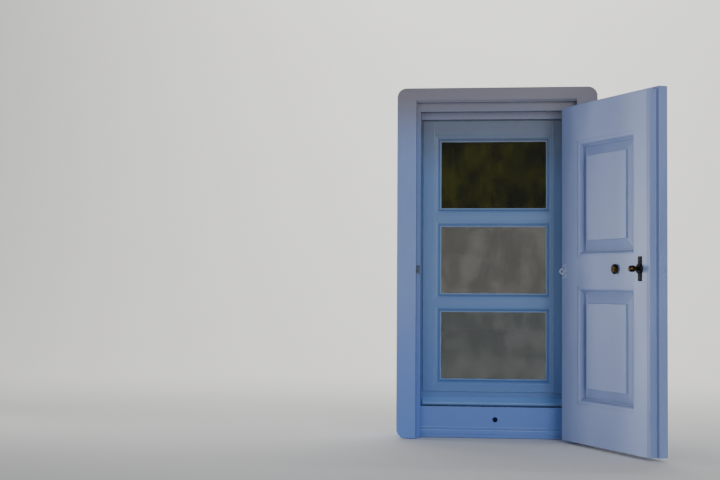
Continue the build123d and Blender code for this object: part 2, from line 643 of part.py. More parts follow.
def sash_pull():
    """Turned wooden knob on the room side of the sash's free stile."""
    x = X_SASH_LEFT - SASH_LIP + (STILE_FLAT + SASH_LIP) / 2
    under = SASH_PULL_D - SASH_PULL_HEAD_D
    return turned([(0, 0), (SASH_PULL_FOOT_R, 0), (SASH_PULL_FOOT_R, SASH_PULL_FOOT_D / 2),
                   (SASH_PULL_NECK_R, 1.5 * SASH_PULL_FOOT_D), (SASH_PULL_NECK_R, under - 2),
                   (SASH_PULL_R - 1.5, under), (SASH_PULL_R, under + SASH_PULL_HEAD_D / 3),
                   (SASH_PULL_R - 1, SASH_PULL_D - SASH_PULL_HEAD_D / 4),
                   (SASH_PULL_R - 4, SASH_PULL_D), (0, SASH_PULL_D)],
                  (x, Y_BACK, Z_SASH_PULL), (0, 1, 0))


# Shutter pieces, all drawn shut

def leaf_wood():
    """Stiles, rails and their mouldings on both faces, with the lip that laps the frame."""
    depth = (LEAF_T - PANEL_TONGUE_T) / 2
    section = ovolo(PANEL_MOULD_W, depth, PANEL_MOULD_DROP, PANEL_MOULD_LAND)
    sight_w, sight_h = RECESS_W - 2 * PANEL_MOULD_W, RECESS_H - 2 * PANEL_MOULD_W
    z_rail = (RECESSES[0] - RECESS_H / 2, RECESSES[0] + RECESS_H / 2,
              RECESSES[1] - RECESS_H / 2, RECESSES[1] + RECESS_H / 2)
    wood = {
        "shutter_stile_lock": block(X_LEAF_FREE, RECESS_LEFT, Y_FACE, Y_LEAF_IN, LEAF_BOTTOM,
                                    Z_LEAF_LIP),
        "shutter_stile_hinge": block(RECESS_RIGHT, X_LEAF_HINGE, Y_FACE, Y_LEAF_IN, LEAF_BOTTOM,
                                     Z_LEAF_LIP),
        "shutter_bottom_rail": block(RECESS_LEFT, RECESS_RIGHT, Y_FACE, Y_LEAF_IN, LEAF_BOTTOM,
                                     z_rail[0]),
        "shutter_lock_rail": block(RECESS_LEFT, RECESS_RIGHT, Y_FACE, Y_LEAF_IN, z_rail[1],
                                   z_rail[2]),
        "shutter_top_rail": block(RECESS_LEFT, RECESS_RIGHT, Y_FACE, Y_LEAF_IN, z_rail[3],
                                  Z_LEAF_LIP),
    }
    rails = (("shutter_bottom_rail", "shutter_lock_rail"), ("shutter_lock_rail", "shutter_top_rail"))
    for z, (below, above) in zip(RECESSES, rails):
        for y, flip in ((Y_FACE, False), (Y_LEAF_IN, True)):
            ring = round_opening(section, PANEL_MOULD_W, RECESS_X, z, sight_w, sight_h, y, flip)
            wood["shutter_stile_lock"] += ring["left"]
            wood["shutter_stile_hinge"] += ring["right"]
            wood[below] += ring["bottom"]
            wood[above] += ring["top"]
    spans = {"shutter_bottom_rail": (LEAF_BOTTOM + 2 * TENON_SHOULDER, z_rail[0] - TENON_SHOULDER),
             "shutter_lock_rail": (z_rail[1] + TENON_SHOULDER, z_rail[2] - TENON_SHOULDER),
             "shutter_top_rail": (z_rail[3] + TENON_SHOULDER, Z_LEAF_TOP - 2 * TENON_SHOULDER)}
    for name, (z0, z1) in spans.items():
        for stile, shoulder, side in (("shutter_stile_lock", RECESS_LEFT, -1),
                                      ("shutter_stile_hinge", RECESS_RIGHT, 1)):
            behind_latch = name == "shutter_lock_rail" and side < 0
            length = STUB_TENON_L if behind_latch else TENON_L
            wood[name] += tenon(shoulder, side, Y_LEAF_MID, z0, z1, 0, length)
            wood[stile] -= tenon(shoulder, side, Y_LEAF_MID, z0, z1, TENON_FIT, length)
    top = block(X_LEAF_FREE - 1, X_LEAF_HINGE + 1, Y_LEAF_LIP, Y_LEAF_IN + 1, Z_LEAF_TOP,
                Z_LEAF_LIP + 1)
    side = block(X_LEAF_FREE - 1, X_LEAF_INNER, Y_LEAF_LIP, Y_LEAF_IN + 1, LEAF_BOTTOM - 1,
                 Z_LEAF_LIP + 1)
    for name in ("shutter_stile_lock", "shutter_stile_hinge", "shutter_top_rail"):
        wood[name] -= top
    wood["shutter_stile_lock"] -= side
    edges = wood["shutter_stile_lock"].edges().filter_by(Axis.Z).group_by(Axis.X)[0]
    wood["shutter_stile_lock"] = fillet(edges, LEAF_ARRIS_R)
    wood["shutter_stile_lock"] = cut_all(
        wood["shutter_stile_lock"],
        latch_mortise() + plate_screws(screw_hole) + forend_screws(screw_hole))
    wood["shutter_stile_hinge"] = cut_all(
        wood["shutter_stile_hinge"],
        knuckle_recess() + shutter_hinge_screws(-1, screw_hole) + eye_screws(screw_hole))
    wood["shutter_lock_rail"] -= rod((X_PULL, Y_LEAF_IN, Z_LATCH), SCREW_R + SCREW_FIT,
                                     2 * PULL_SCREW_L, "y")
    return wood


def panels():
    """Two raised and fielded panels, the same on both faces, loose in their grooves."""
    made = {}
    tongue_w, tongue_h = RECESS_W - 2 * PANEL_PLAY, RECESS_H - 2 * PANEL_PLAY
    field_w, field_h = RECESS_W - 2 * PANEL_MARGIN, RECESS_H - 2 * PANEL_MARGIN
    foot_w, foot_h = RECESS_W - 2 * PANEL_MOULD_W, RECESS_H - 2 * PANEL_MOULD_W
    for name, z in zip(("shutter_panel_lower", "shutter_panel_upper"), RECESSES):
        centre = Pos(RECESS_X, Y_LEAF_MID, z)
        panel = Box(tongue_w, PANEL_TONGUE_T, tongue_h)
        for side in (-1, 1):
            foot = Plane(origin=(0, side * PANEL_TONGUE_T / 2, 0), x_dir=(1, 0, 0),
                         z_dir=(0, side, 0)) * Rectangle(foot_w, foot_h)
            top = Plane(origin=(0, side * PANEL_BEVEL_T / 2, 0), x_dir=(1, 0, 0),
                        z_dir=(0, side, 0)) * Rectangle(field_w, field_h)
            panel += loft([foot, top])
        panel += Box(field_w, PANEL_BEVEL_T + 2 * PANEL_STEP, field_h)
        made[name] = centre * panel
    return made


def latch_mortise():
    """Pocket for the latch case behind its forend, and the bore of the spindle."""
    x0 = X_LEAF_FREE
    half_case = CASE_T / 2 + TENON_FIT
    half_tail = BOLT_TAIL_H / 2 + BOLT_FIT + CASE_WALL + TENON_FIT
    case = block(x0 - 1, x0 + FOREND_T + CASE_L + TENON_FIT, Y_CASE - half_case, Y_CASE + half_case,
                 Z_LATCH - half_tail, Z_LATCH + half_tail)
    forend = block(x0 - 1, x0 + FOREND_T, Y_CASE - FOREND_W / 2 - TENON_FIT,
                   Y_CASE + FOREND_W / 2 + TENON_FIT, Z_LATCH - FOREND_H / 2 - TENON_FIT,
                   Z_LATCH + FOREND_H / 2 + TENON_FIT)
    bore_l = Y_LEAF_IN - Y_CASE + 1
    return [case, forend, rod((X_SPINDLE, Y_CASE + bore_l / 2, Z_LATCH), HUB_R + 0.5, bore_l, "y")]


def latch_case():
    """Folded box that guides the bolt, open towards the forend."""
    x0, x1 = X_LEAF_FREE + FOREND_T, X_LEAF_FREE + FOREND_T + CASE_L
    half_y, half_z = CASE_T / 2 - CASE_WALL, BOLT_TAIL_H / 2 + BOLT_FIT
    case = block(x0, x1, Y_CASE - CASE_T / 2, Y_CASE + CASE_T / 2, Z_LATCH - half_z - CASE_WALL,
                 Z_LATCH + half_z + CASE_WALL)
    case -= block(x0 - 1, x1 - CASE_WALL, Y_CASE - half_y, Y_CASE + half_y, Z_LATCH - half_z,
                  Z_LATCH + half_z)
    return case - rod((X_SPINDLE, Y_CASE + CASE_T / 2, Z_LATCH), HUB_R + 0.5, CASE_T - 1, "y")


def latch_forend():
    """Plate in the leaf's edge with the bolt's hole and two screws."""
    plate = block(X_LEAF_FREE, X_LEAF_FREE + FOREND_T, Y_CASE - FOREND_W / 2, Y_CASE + FOREND_W / 2,
                  Z_LATCH - FOREND_H / 2, Z_LATCH + FOREND_H / 2)
    plate = cut_all(plate, forend_screws(screw_hole))
    half_y = CASE_T / 2 - CASE_WALL
    return plate - block(X_LEAF_FREE - 1, X_LEAF_FREE + FOREND_T + 1, Y_CASE - half_y,
                         Y_CASE + half_y, Z_LATCH - BOLT_H / 2 - BOLT_FIT,
                         Z_LATCH + BOLT_H / 2 + BOLT_FIT)


def latch_bolt():
    """Bolt with a forked tail round the hub and a notch for the crank's pin, drawn withdrawn."""
    half_y = CASE_T / 2 - CASE_WALL - BOLT_FIT
    x0 = X_LEAF_FREE
    x_tail = x0 + FOREND_T + BOLT_THROW + 0.5
    x_end = X_SPINDLE + BOLT_THROW / 2 + CRANK_PIN_R + CRANK_FIT + 2.2
    bolt = block(x0 + BOLT_FIT, x_end, Y_CASE - half_y, Y_CASE + half_y, Z_LATCH - BOLT_H / 2,
                 Z_LATCH + BOLT_H / 2)
    bolt += block(x_tail, x_end, Y_CASE - half_y, Y_CASE + half_y, Z_LATCH - BOLT_TAIL_H / 2,
                  Z_LATCH + BOLT_TAIL_H / 2)
    bolt -= block(X_SPINDLE - HUB_R - CRANK_FIT, x_end + 1, Y_CASE - CASE_T, Y_CASE + CASE_T,
                  Z_LATCH - HUB_R - CRANK_FIT, Z_LATCH + HUB_R + CRANK_FIT)
    pin_x = X_SPINDLE + BOLT_THROW / 2
    reach = BOLT_THROW / 2 / sin(radians(45)) + CRANK_PIN_R + CRANK_FIT
    return bolt - block(pin_x - CRANK_PIN_R - CRANK_FIT, pin_x + CRANK_PIN_R + CRANK_FIT,
                        Y_CASE - CASE_T, Y_CASE + CASE_T, Z_LATCH, Z_LATCH + reach)


def latch_hub():
    """Hub on the spindle with the crank's pin that moves the bolt."""
    length = CASE_T - 2 * CASE_WALL - 2 * BOLT_FIT
    offset = BOLT_THROW / 2
    hub = rod((0, 0, 0), HUB_R, length, "y") + rod((offset, 0, offset), CRANK_PIN_R, length, "y")
    arm = offset / sin(radians(45))
    hub += Rot(0, -45, 0) * Pos(arm / 2, 0, 0) * Box(arm, length, CRANK_W)
    hub -= Box(SPINDLE_W + 2 * PIN_FIT, 2 * length, SPINDLE_W + 2 * PIN_FIT)
    return Pos(X_SPINDLE, Y_CASE, Z_LATCH) * hub


def latch_spindle():
    """Square bar from the hub into the knob."""
    y0 = Y_CASE - CASE_T / 2 + CASE_WALL + BOLT_FIT
    y1 = Y_LEAF_IN + KNOB_START + SPINDLE_W
    half = SPINDLE_W / 2
    return block(X_SPINDLE - half, X_SPINDLE + half, y0, y1, Z_LATCH - half, Z_LATCH + half)


def latch_knob():
    """Turned knob on the spindle's end, its neck running in the collar of the plate."""
    start, end = KNOB_START, KNOB_END
    knob = turned([(0, 0.3), (NECK_R, 0.3), (NECK_R, start), (KNOB_R - 0.6, start + 0.8),
                   (KNOB_R, start + 3), (KNOB_R, end - 4), (KNOB_R - 1, end - 1.5),
                   (KNOB_R - 3, end), (0, end)], (X_SPINDLE, Y_LEAF_IN, Z_LATCH), (0, 1, 0))
    return knob - latch_spindle()


def latch_plate():
    """Narrow plate with chamfered edges and the collar that the knob's neck runs in."""
    plate = block(X_SPINDLE - PLATE_W / 2, X_SPINDLE + PLATE_W / 2, Y_LEAF_IN, Y_LEAF_IN + PLATE_T,
                  Z_LATCH - PLATE_H / 2, Z_LATCH + PLATE_H / 2)
    plate = chamfer(plate.faces().sort_by(Axis.Y)[-1].edges(), PLATE_T / 2)
    collar_l = PLATE_T + COLLAR_T
    plate += turned([(0, 0), (COLLAR_R, 0), (COLLAR_R, collar_l - 1), (COLLAR_R - 1, collar_l),
                     (0, collar_l)], (X_SPINDLE, Y_LEAF_IN, Z_LATCH), (0, 1, 0))
    plate -= rod((X_SPINDLE, Y_LEAF_IN, Z_LATCH), NECK_R + NECK_FIT, 3 * collar_l, "y")
    return cut_all(plate, plate_screws(screw_hole))


def plate_screws(make):
    return [make((X_SPINDLE, Y_LEAF_IN + PLATE_T, Z_LATCH + side * (PLATE_H / 2 - 2 * SCREW_HEAD_R)),
                 (0, 1, 0)) for side in (-1, 1)]


def forend_screws(make):
    return [make((X_LEAF_FREE, Y_CASE, Z_LATCH + side * (FOREND_H / 2 - 2 * SCREW_HEAD_R)),
                 (-1, 0, 0)) for side in (-1, 1)]


def eye_screws(make):
    return [make((X_EYE, Y_LEAF_IN + PLATE_T, Z_EYE + side * (EYE_PLATE_H / 2 - 1.5 * SCREW_HEAD_R)),
                 (0, 1, 0)) for side in (-1, 1)]


def stay_eye():
    """Plate with a standing ring that takes the hook of the stay."""
    plate = block(X_EYE - EYE_PLATE_W / 2, X_EYE + EYE_PLATE_W / 2, Y_LEAF_IN, Y_LEAF_IN + PLATE_T,
                  Z_EYE - EYE_PLATE_H / 2, Z_EYE + EYE_PLATE_H / 2)
    plate = fillet(plate.edges().filter_by(Axis.Y), EYE_PLATE_W / 4)
    ring = Pos(X_EYE, Y_LEAF_IN + PLATE_T + EYE_R, Z_EYE) * Rot(0, 90, 0) * Torus(EYE_R, EYE_WIRE_R)
    ring -= block(X_EYE - EYE_PLATE_W, X_EYE + EYE_PLATE_W, Y_LEAF_IN - EYE_R, Y_LEAF_IN,
                  Z_EYE - EYE_PLATE_H, Z_EYE + EYE_PLATE_H)
    return cut_all(plate + ring, eye_screws(screw_hole))


def pull_knob():
    """Low round knob screwed into the lock rail."""
    stud = 0.95 * PULL_SCREW_L
    return turned([(0, -stud), (SCREW_R, -stud), (SCREW_R, 0), (PULL_R - 3, 0), (PULL_R - 3, 1.5),
                   (PULL_R, 3), (PULL_R, 4.5), (PULL_R - 1.5, 6.5), (PULL_R - 4, PULL_D),
                   (0, PULL_D)], (X_PULL, Y_LEAF_IN, Z_LATCH), (0, 1, 0))


# The nodes

def hinge_pieces(prefix, axis, heights, shape):
    """Both hinges of one leaf, by node name."""
    pieces = {}
    for place, z in zip(("lower", "upper"), heights):
        made = hinge(axis, z, *shape)
        pieces[f"{prefix}_hinge_fixed_{place}"] = made["fixed"]
        pieces[f"{prefix}_hinge_moving_{place}"] = made["moving"]
        pieces[f"{prefix}_hinge_pin_{place}"] = made["pin"]
    return pieces


def frame_nodes():
    nodes = {**casings(), **jambs(), **frame_rails(), "latch_keeper": latch_keeper()}
    nodes["turn_button"], nodes["turn_button_pivot"] = turn_button()
    nodes["frame_screws"] = Compound(shutter_hinge_screws(1, screw) + sash_hinge_screws(1, screw))
    return nodes


def sash_nodes():
    return {**sash_wood(), **glazing(), "weather_bar": weather_bar(), "sash_pull": sash_pull(),
            "sash_screws": Compound(sash_hinge_screws(-1, screw)),
            **hinge_pieces("sash", SASH_AXIS, SASH_HINGES, SASH_HINGE)}


def shutter_nodes():
    """Every piece of the leaf, swung open, and the hinges' fixed halves and pins, which stay."""
    screws = (shutter_hinge_screws(-1, screw) + plate_screws(screw) + forend_screws(screw)
              + eye_screws(screw))
    nodes = {**leaf_wood(), **panels(), "pull_knob": pull_knob(), "stay_eye": stay_eye(),
             "latch_plate": latch_plate(), "latch_case": latch_case(),
             "latch_forend": latch_forend(), "latch_bolt": latch_bolt(), "latch_hub": latch_hub(),
             "latch_spindle": latch_spindle(), "latch_knob": latch_knob(),
             "shutter_screws": Compound(screws)}
    hinges = hinge_pieces("shutter", SHUTTER_AXIS, SHUTTER_HINGES, SHUTTER_HINGE)
    nodes.update({name: piece for name, piece in hinges.items() if "moving" in name})
    nodes = {name: swing_open(piece) for name, piece in nodes.items()}
    nodes.update({name: piece for name, piece in hinges.items() if "moving" not in name})
    return nodes


os.makedirs("parts", exist_ok=True)
for name, piece in {**frame_nodes(), **sash_nodes(), **shutter_nodes()}.items():
    export_step(piece, f"parts/{name}.step")
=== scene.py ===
from math import cos, radians, sin

import bmesh
import bpy
from mathutils import Matrix, Vector
from mathutils.bvhtree import BVHTree


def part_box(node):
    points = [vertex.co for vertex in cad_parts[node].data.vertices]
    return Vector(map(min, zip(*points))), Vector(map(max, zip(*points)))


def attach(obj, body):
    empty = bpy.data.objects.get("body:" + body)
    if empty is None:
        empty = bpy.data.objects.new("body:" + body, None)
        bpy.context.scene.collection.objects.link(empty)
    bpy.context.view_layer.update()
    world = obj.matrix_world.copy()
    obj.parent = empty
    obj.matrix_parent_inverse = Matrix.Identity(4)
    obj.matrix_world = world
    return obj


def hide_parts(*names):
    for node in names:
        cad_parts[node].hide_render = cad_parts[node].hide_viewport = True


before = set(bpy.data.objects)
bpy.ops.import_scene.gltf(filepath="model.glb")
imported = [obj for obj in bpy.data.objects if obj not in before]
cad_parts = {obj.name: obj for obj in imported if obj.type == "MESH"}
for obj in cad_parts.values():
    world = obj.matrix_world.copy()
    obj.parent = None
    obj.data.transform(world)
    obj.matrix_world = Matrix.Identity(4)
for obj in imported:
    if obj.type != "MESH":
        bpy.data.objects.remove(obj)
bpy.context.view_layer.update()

# The open leaf, in metres: its turn from shut, the level way from its hinges to its free edge, the
# way its room face looks, and how far its free edge and its street face lie along these two ways
LEAF_TURN = radians(118)
LEAF_WAY = (-cos(LEAF_TURN), -sin(LEAF_TURN), 0.0)
LEAF_FACING = (-sin(LEAF_TURN), cos(LEAF_TURN), 0.0)
LEAF_EDGE = 0.4477
STREET_FACE = -0.1162

# Spans in metres of painted light and shade, and of bare plate screws: heights, then leaf distances
HEAD_SHADE_SPAN = (0.0, 0.15)
FOOT_LIGHT_SPAN = (0.06, 0.42)
RAGGEDNESS = 0.06
LIT_FRONT_SPAN = (LEAF_EDGE - 0.12, LEAF_EDGE - 0.01)
SHORT_OF_EDGE_SPAN = (LEAF_EDGE - 0.0010, LEAF_EDGE - 0.0002)
STREET_FACE_SPAN = (STREET_FACE + 0.0004, STREET_FACE + 0.0012)
PLATE_START_SPAN = (LEAF_EDGE - 0.14, LEAF_EDGE - 0.13)
PLATE_END_SPAN = (LEAF_EDGE - 0.02, LEAF_EDGE - 0.01)

# Easing of the wood's arrises, in metres and radians
ARRIS = 0.0006
ARRIS_MARK = "arris"
MERGED = 0.000002
FLUSH = 0.0004
FLAT_ANGLE = radians(0.6)
SHARP_ANGLE = radians(20)
ROUND_ANGLE = radians(26)

# Paints, as linear colours: fresh, and where the film has worn
CASING_BLUE = ((0.185, 0.272, 0.550, 1), (0.228, 0.320, 0.605, 1))
# Painted bluer light low on the casing
CASING_FOOT_PAINTED_LIGHT = (0.125, 0.230, 0.590, 1)
FRAME_BLUE = ((0.148, 0.225, 0.450, 1), (0.185, 0.268, 0.495, 1))
# Painted bluer light low on the frame
FRAME_FOOT_PAINTED_LIGHT = (0.110, 0.212, 0.560, 1)
# The sash's copy of the blue paint, tinted bluer as painted shade lit by the sky
SASH_BLUE_SKY_SHADE = ((0.122, 0.220, 0.440, 1), (0.155, 0.262, 0.480, 1))
# Painted bluer light low on the sash
SASH_FOOT_PAINTED_LIGHT = (0.088, 0.188, 0.455, 1)
# The weather bar's copy of the sash blue, painted lighter as light on its sunken upturned slope
WEATHER_BAR_PAINTED_LIGHT = ((0.135, 0.285, 0.630, 1), (0.165, 0.325, 0.680, 1))
# The leaf's copy of the blue paint, tinted lighter and greyer as painted light bounced from a
# sunlit wall
SHUTTER_BLUE_WALL_LIGHT = ((0.178, 0.238, 0.455, 1), (0.222, 0.284, 0.512, 1))
# Painted light on the leaf towards its free edge
SHUTTER_PAINTED_LIGHT = (0.295, 0.375, 0.625, 1)
# Painted grey shade high on the casing and frame
HEAD_PAINTED_SHADE = (0.212, 0.190, 0.205, 1)
# Painted grey shade high on the sash
SASH_HEAD_PAINTED_SHADE = (0.132, 0.150, 0.192, 1)
PUTTY_GREY = ((0.26, 0.30, 0.40, 1), (0.36, 0.39, 0.48, 1))
# Grime with painted shade, for faces that look up
LEDGE_GRIME_AND_SHADE = (0.085, 0.100, 0.140, 1)
# Sill grime, darkened further as painted shade of the gap under the sash
SILL_GRIME_AND_GAP_SHADE = (0.018, 0.022, 0.030, 1)
# Painted highlight along the eased arrises
ARRIS_PAINTED_HIGHLIGHT = (0.40, 0.47, 0.60, 1)

# Metals: bare or rubbed, and under their film
KEEPER_IRON = ((0.15, 0.18, 0.26, 1), (0.06, 0.07, 0.09, 1))
EYE_PAINT = ((0.42, 0.47, 0.58, 1), SHUTTER_BLUE_WALL_LIGHT[0])
STEEL = ((0.34, 0.35, 0.37, 1), (0.14, 0.13, 0.13, 1))
BLACK_IRON = ((0.055, 0.05, 0.048, 1), (0.02, 0.017, 0.016, 1))
BROWN_BRASS = ((0.010, 0.008, 0.008, 1), (0.005, 0.004, 0.004, 1))
RUBBED_BRASS = ((0.085, 0.056, 0.018, 1), (0.014, 0.010, 0.006, 1))
SATIN_BRASS = ((0.50, 0.35, 0.15, 1), (0.26, 0.17, 0.08, 1))
BARE_SCREW = (0.016, 0.014, 0.014, 1)

# Panes: painted shade of the room behind and painted reflection, each pane its own, mottled upright
LOWER_PANE_SHADE_AND_REFLECTION = ((0.047, 0.052, 0.052, 1), (0.072, 0.078, 0.078, 1))
MIDDLE_PANE_SHADE_AND_REFLECTION = ((0.062, 0.062, 0.058, 1), (0.095, 0.094, 0.089, 1))
UPPER_PANE_SHADE_AND_REFLECTION = ((0.003, 0.003, 0.0004, 1), (0.019, 0.020, 0.001, 1))


# Node groups shared by the finishes

def node_group(name, inputs, outputs):
    """Empty shader group with named sockets; gives the tree and its two end nodes."""
    tree = bpy.data.node_groups.new(name, "ShaderNodeTree")
    for label, kind, value in inputs:
        socket = tree.interface.new_socket(label, in_out="INPUT", socket_type=kind)
        if value is not None:
            socket.default_value = value
    for label in outputs:
        tree.interface.new_socket(label, in_out="OUTPUT", socket_type="NodeSocketFloat")
    return tree, tree.nodes.new("NodeGroupInput"), tree.nodes.new("NodeGroupOutput")


def add(tree, kind, **values):
    """New node; values set its properties, or its inputs where a key names one."""
    node = tree.nodes.new(kind)
    for key, value in values.items():
        if key in node.inputs:
            node.inputs[key].default_value = value
        else:
            setattr(node, key, value)
    return node


def spread(tree, source, low, high, out_low=0.0, out_high=1.0):
    """Stretch a value from low..high to out_low..out_high, smoothly."""
    node = add(tree, "ShaderNodeMapRange", interpolation_type="SMOOTHSTEP")
    for key, value in zip(("From Min", "From Max", "To Min", "To Max"),
                          (low, high, out_low, out_high)):
        node.inputs[key].default_value = value
    tree.links.new(source, node.inputs["Value"])
    return node.outputs["Result"]


def combine(tree, operation, first, second):
    """One arithmetic step between two sockets, or a socket and a number."""
    node = add(tree, "ShaderNodeMath", operation=operation)
    for socket, value in zip(node.inputs, (first, second)):
        if isinstance(value, (int, float)):
            socket.default_value = value
        else:
            tree.links.new(value, socket)
    return node.outputs[0]


def weighted_sum(tree, first, first_weight, second, second_weight):
    """Two values added up, each by its weight."""
    return combine(tree, "ADD", combine(tree, "MULTIPLY", first, first_weight),
                   combine(tree, "MULTIPLY", second, second_weight))


def blend_colour(tree, mask, first, second):
    """Second colour over the first, where the mask is high."""
    node = add(tree, "ShaderNodeMix", data_type="RGBA")
    tree.links.new(mask, node.inputs["Factor"])
    for socket, value in zip((node.inputs[6], node.inputs[7]), (first, second)):
        if isinstance(value, tuple):
            socket.default_value = value
        else:
            tree.links.new(value, socket)
    return node.outputs[2]


def stretched(tree, vector, factors):
    """Coordinates multiplied axis by axis; a small factor draws a pattern out along its axis."""
    node = add(tree, "ShaderNodeVectorMath", operation="MULTIPLY")
    node.inputs[1].default_value = factors
    tree.links.new(vector, node.inputs[0])
    return node.outputs[0]


def noise(tree, vector, **values):
    """Noise texture over given coordinates."""
    node = add(tree, "ShaderNodeTexNoise", **values)
    tree.links.new(vector, node.inputs["Vector"])
    return node


def distance_along(tree, vector, way):
    """Distance of a point along a level direction."""
    along = add(tree, "ShaderNodeVectorMath", operation="DOT_PRODUCT")
    along.inputs[1].default_value = way
    tree.links.new(vector, along.inputs[0])
    return along.outputs["Value"]


def brush_marks():
    """Fine long ridges along the local Z axis, as a brush leaves them, and broad uneven film."""
    tree, start, end = node_group(
        "Brush marks",
        [("Vector", "NodeSocketVector", None), ("Bristles", "NodeSocketFloat", 420.0)],
        ["Ridges", "Film"])
    vector = start.outputs["Vector"]
    sway = noise(tree, vector, Scale=9.0, Detail=1.0)
    swayed = add(tree, "ShaderNodeVectorMath", operation="MULTIPLY_ADD")
    swayed.inputs[1].default_value = (0.012, 0.012, 0.0)
    tree.links.new(sway.outputs["Color"], swayed.inputs[0])
    tree.links.new(stretched(tree, vector, (1.0, 1.0, 0.035)), swayed.inputs[2])
    ridges = noise(tree, swayed.outputs[0], Detail=3.0, Roughness=0.62)
    tree.links.new(start.outputs["Bristles"], ridges.inputs["Scale"])
    film = noise(tree, stretched(tree, vector, (1.0, 1.0, 0.35)),
                 Scale=11.0, Detail=4.0, Roughness=0.55)
    tree.links.new(spread(tree, ridges.outputs["Fac"], 0.30, 0.70), end.inputs["Ridges"])
    tree.links.new(spread(tree, film.outputs["Fac"], 0.32, 0.68), end.inputs["Film"])
    return tree


def ledge_dust_and_shade():
    """Darker on upward faces, in patches: dirt lying there, and painted shade for light from below.
    """
    tree, start, end = node_group(
        "Ledge dust", [("Vector", "NodeSocketVector", None), ("Amount", "NodeSocketFloat", 0.5)],
        ["Dust"])
    facing = add(tree, "ShaderNodeSeparateXYZ")
    tree.links.new(add(tree, "ShaderNodeNewGeometry").outputs["Normal"], facing.inputs[0])
    up = spread(tree, facing.outputs["Z"], 0.35, 0.95)
    patches = noise(tree, start.outputs["Vector"], Scale=60.0, Detail=5.0, Roughness=0.7)
    patchy = spread(tree, patches.outputs["Fac"], 0.30, 0.66, 0.35, 1.0)
    dust_and_shade = combine(tree, "MULTIPLY", up, patchy)
    tree.links.new(combine(tree, "MULTIPLY", dust_and_shade, start.outputs["Amount"]), end.inputs["Dust"])
    return tree


def blotchy_film():
    """Blotchy film, with hairline scratches."""
    tree, start, end = node_group(
        "Blotchy_film", [("Vector", "NodeSocketVector", None), ("Blotches", "NodeSocketFloat", 160.0)],
        ["Film", "Scratches"])
    vector = start.outputs["Vector"]
    blotches = noise(tree, vector, Detail=6.0, Roughness=0.62)
    tree.links.new(start.outputs["Blotches"], blotches.inputs["Scale"])
    lines = noise(tree, stretched(tree, vector, (1.0, 0.12, 1.0)), Scale=2600.0, Detail=2.0)
    tree.links.new(spread(tree, blotches.outputs["Fac"], 0.36, 0.64), end.inputs["Film"])
    tree.links.new(spread(tree, lines.outputs["Fac"], 0.42, 0.60), end.inputs["Scratches"])
    return tree


def arris_painted_highlight():
    """Painted highlight along the eased arrises, in patches."""
    tree, start, end = node_group(
        "Arris wear", [("Vector", "NodeSocketVector", None), ("Amount", "NodeSocketFloat", 0.5)],
        ["Rubbed"])
    mark = add(tree, "ShaderNodeAttribute", attribute_name=ARRIS_MARK)
    patches = noise(tree, start.outputs["Vector"], Scale=34.0, Detail=4.0, Roughness=0.6)
    lit_share = combine(tree, "MULTIPLY", mark.outputs["Fac"],
                   spread(tree, patches.outputs["Fac"], 0.34, 0.62, 0.25, 1.0))
    tree.links.new(combine(tree, "MULTIPLY", lit_share, start.outputs["Amount"]), end.inputs["Rubbed"])
    return tree


def painted_light_gradients():
    """Painted light: grey shade above a height, bluer light low down, paler to the leaf's edge."""
    tree, start, end = node_group(
        "Painted_light gradients", [("Vector", "NodeSocketVector", None), ("Height", "NodeSocketFloat", 0.6)],
        ["Head", "Foot_light", "Front"])
    vector = start.outputs["Vector"]
    place = add(tree, "ShaderNodeSeparateXYZ")
    tree.links.new(vector, place.inputs[0])
    ragged = noise(tree, vector, Scale=14.0, Detail=3.0)
    level = combine(tree, "ADD", place.outputs["Z"],
                    combine(tree, "MULTIPLY", ragged.outputs["Fac"], RAGGEDNESS))
    above_start = combine(tree, "SUBTRACT", level, start.outputs["Height"])
    # Painted grey shade above the given height
    tree.links.new(spread(tree, above_start, *HEAD_SHADE_SPAN, 0.0, 0.9), end.inputs["Head"])
    # Painted bluer light towards the foot, fading out by the top of its span
    tree.links.new(spread(tree, level, *FOOT_LIGHT_SPAN, 1.0, 0.0), end.inputs["Foot_light"])
    # Painted light on the leaf, rising towards its free edge and left off the edge's own face
    reach = distance_along(tree, vector, LEAF_WAY)
    short_of_edge = spread(tree, reach, *SHORT_OF_EDGE_SPAN, 1.0, 0.0)
    on_street_face = spread(tree, distance_along(tree, vector, LEAF_FACING),
                            *STREET_FACE_SPAN, 1.0, 0.0)
    front = combine(tree, "MULTIPLY", spread(tree, reach, *LIT_FRONT_SPAN),
                    combine(tree, "MAXIMUM", short_of_edge, on_street_face))
    tree.links.new(front, end.inputs["Front"])
    return tree


PAINTED_LIGHT_GRADIENTS = painted_light_gradients()
BRUSH_MARKS = brush_marks()
LEDGE_DUST_AND_SHADE = ledge_dust_and_shade()
ARRIS_HIGHLIGHTS = arris_painted_highlight()
BLOTCHY_FILM = blotchy_film()


# Materials

def material(name):
    """New node material: the tree, its shader, and the object's own coordinates."""
    made = bpy.data.materials.new(name)
    made.use_nodes = True
    tree = made.node_tree
    shader = tree.nodes["Principled BSDF"]
    place = add(tree, "ShaderNodeTexCoord")
    return made, tree, shader, place.outputs["Object"]


def group_in(tree, group, vector, **values):
    """A shared group placed in a material, with its own values."""
    node = add(tree, "ShaderNodeGroup")
    node.node_tree = group
    tree.links.new(vector, node.inputs["Vector"])
    for key, value in values.items():
        node.inputs[key].default_value = value
    return node


def roughen(tree, shader, height, distance, strength):
    """Feed a height into the shader's normal."""
    bump = add(tree, "ShaderNodeBump", Distance=distance, Strength=strength)
    tree.links.new(height, bump.inputs["Height"])
    tree.links.new(bump.outputs["Normal"], shader.inputs["Normal"])


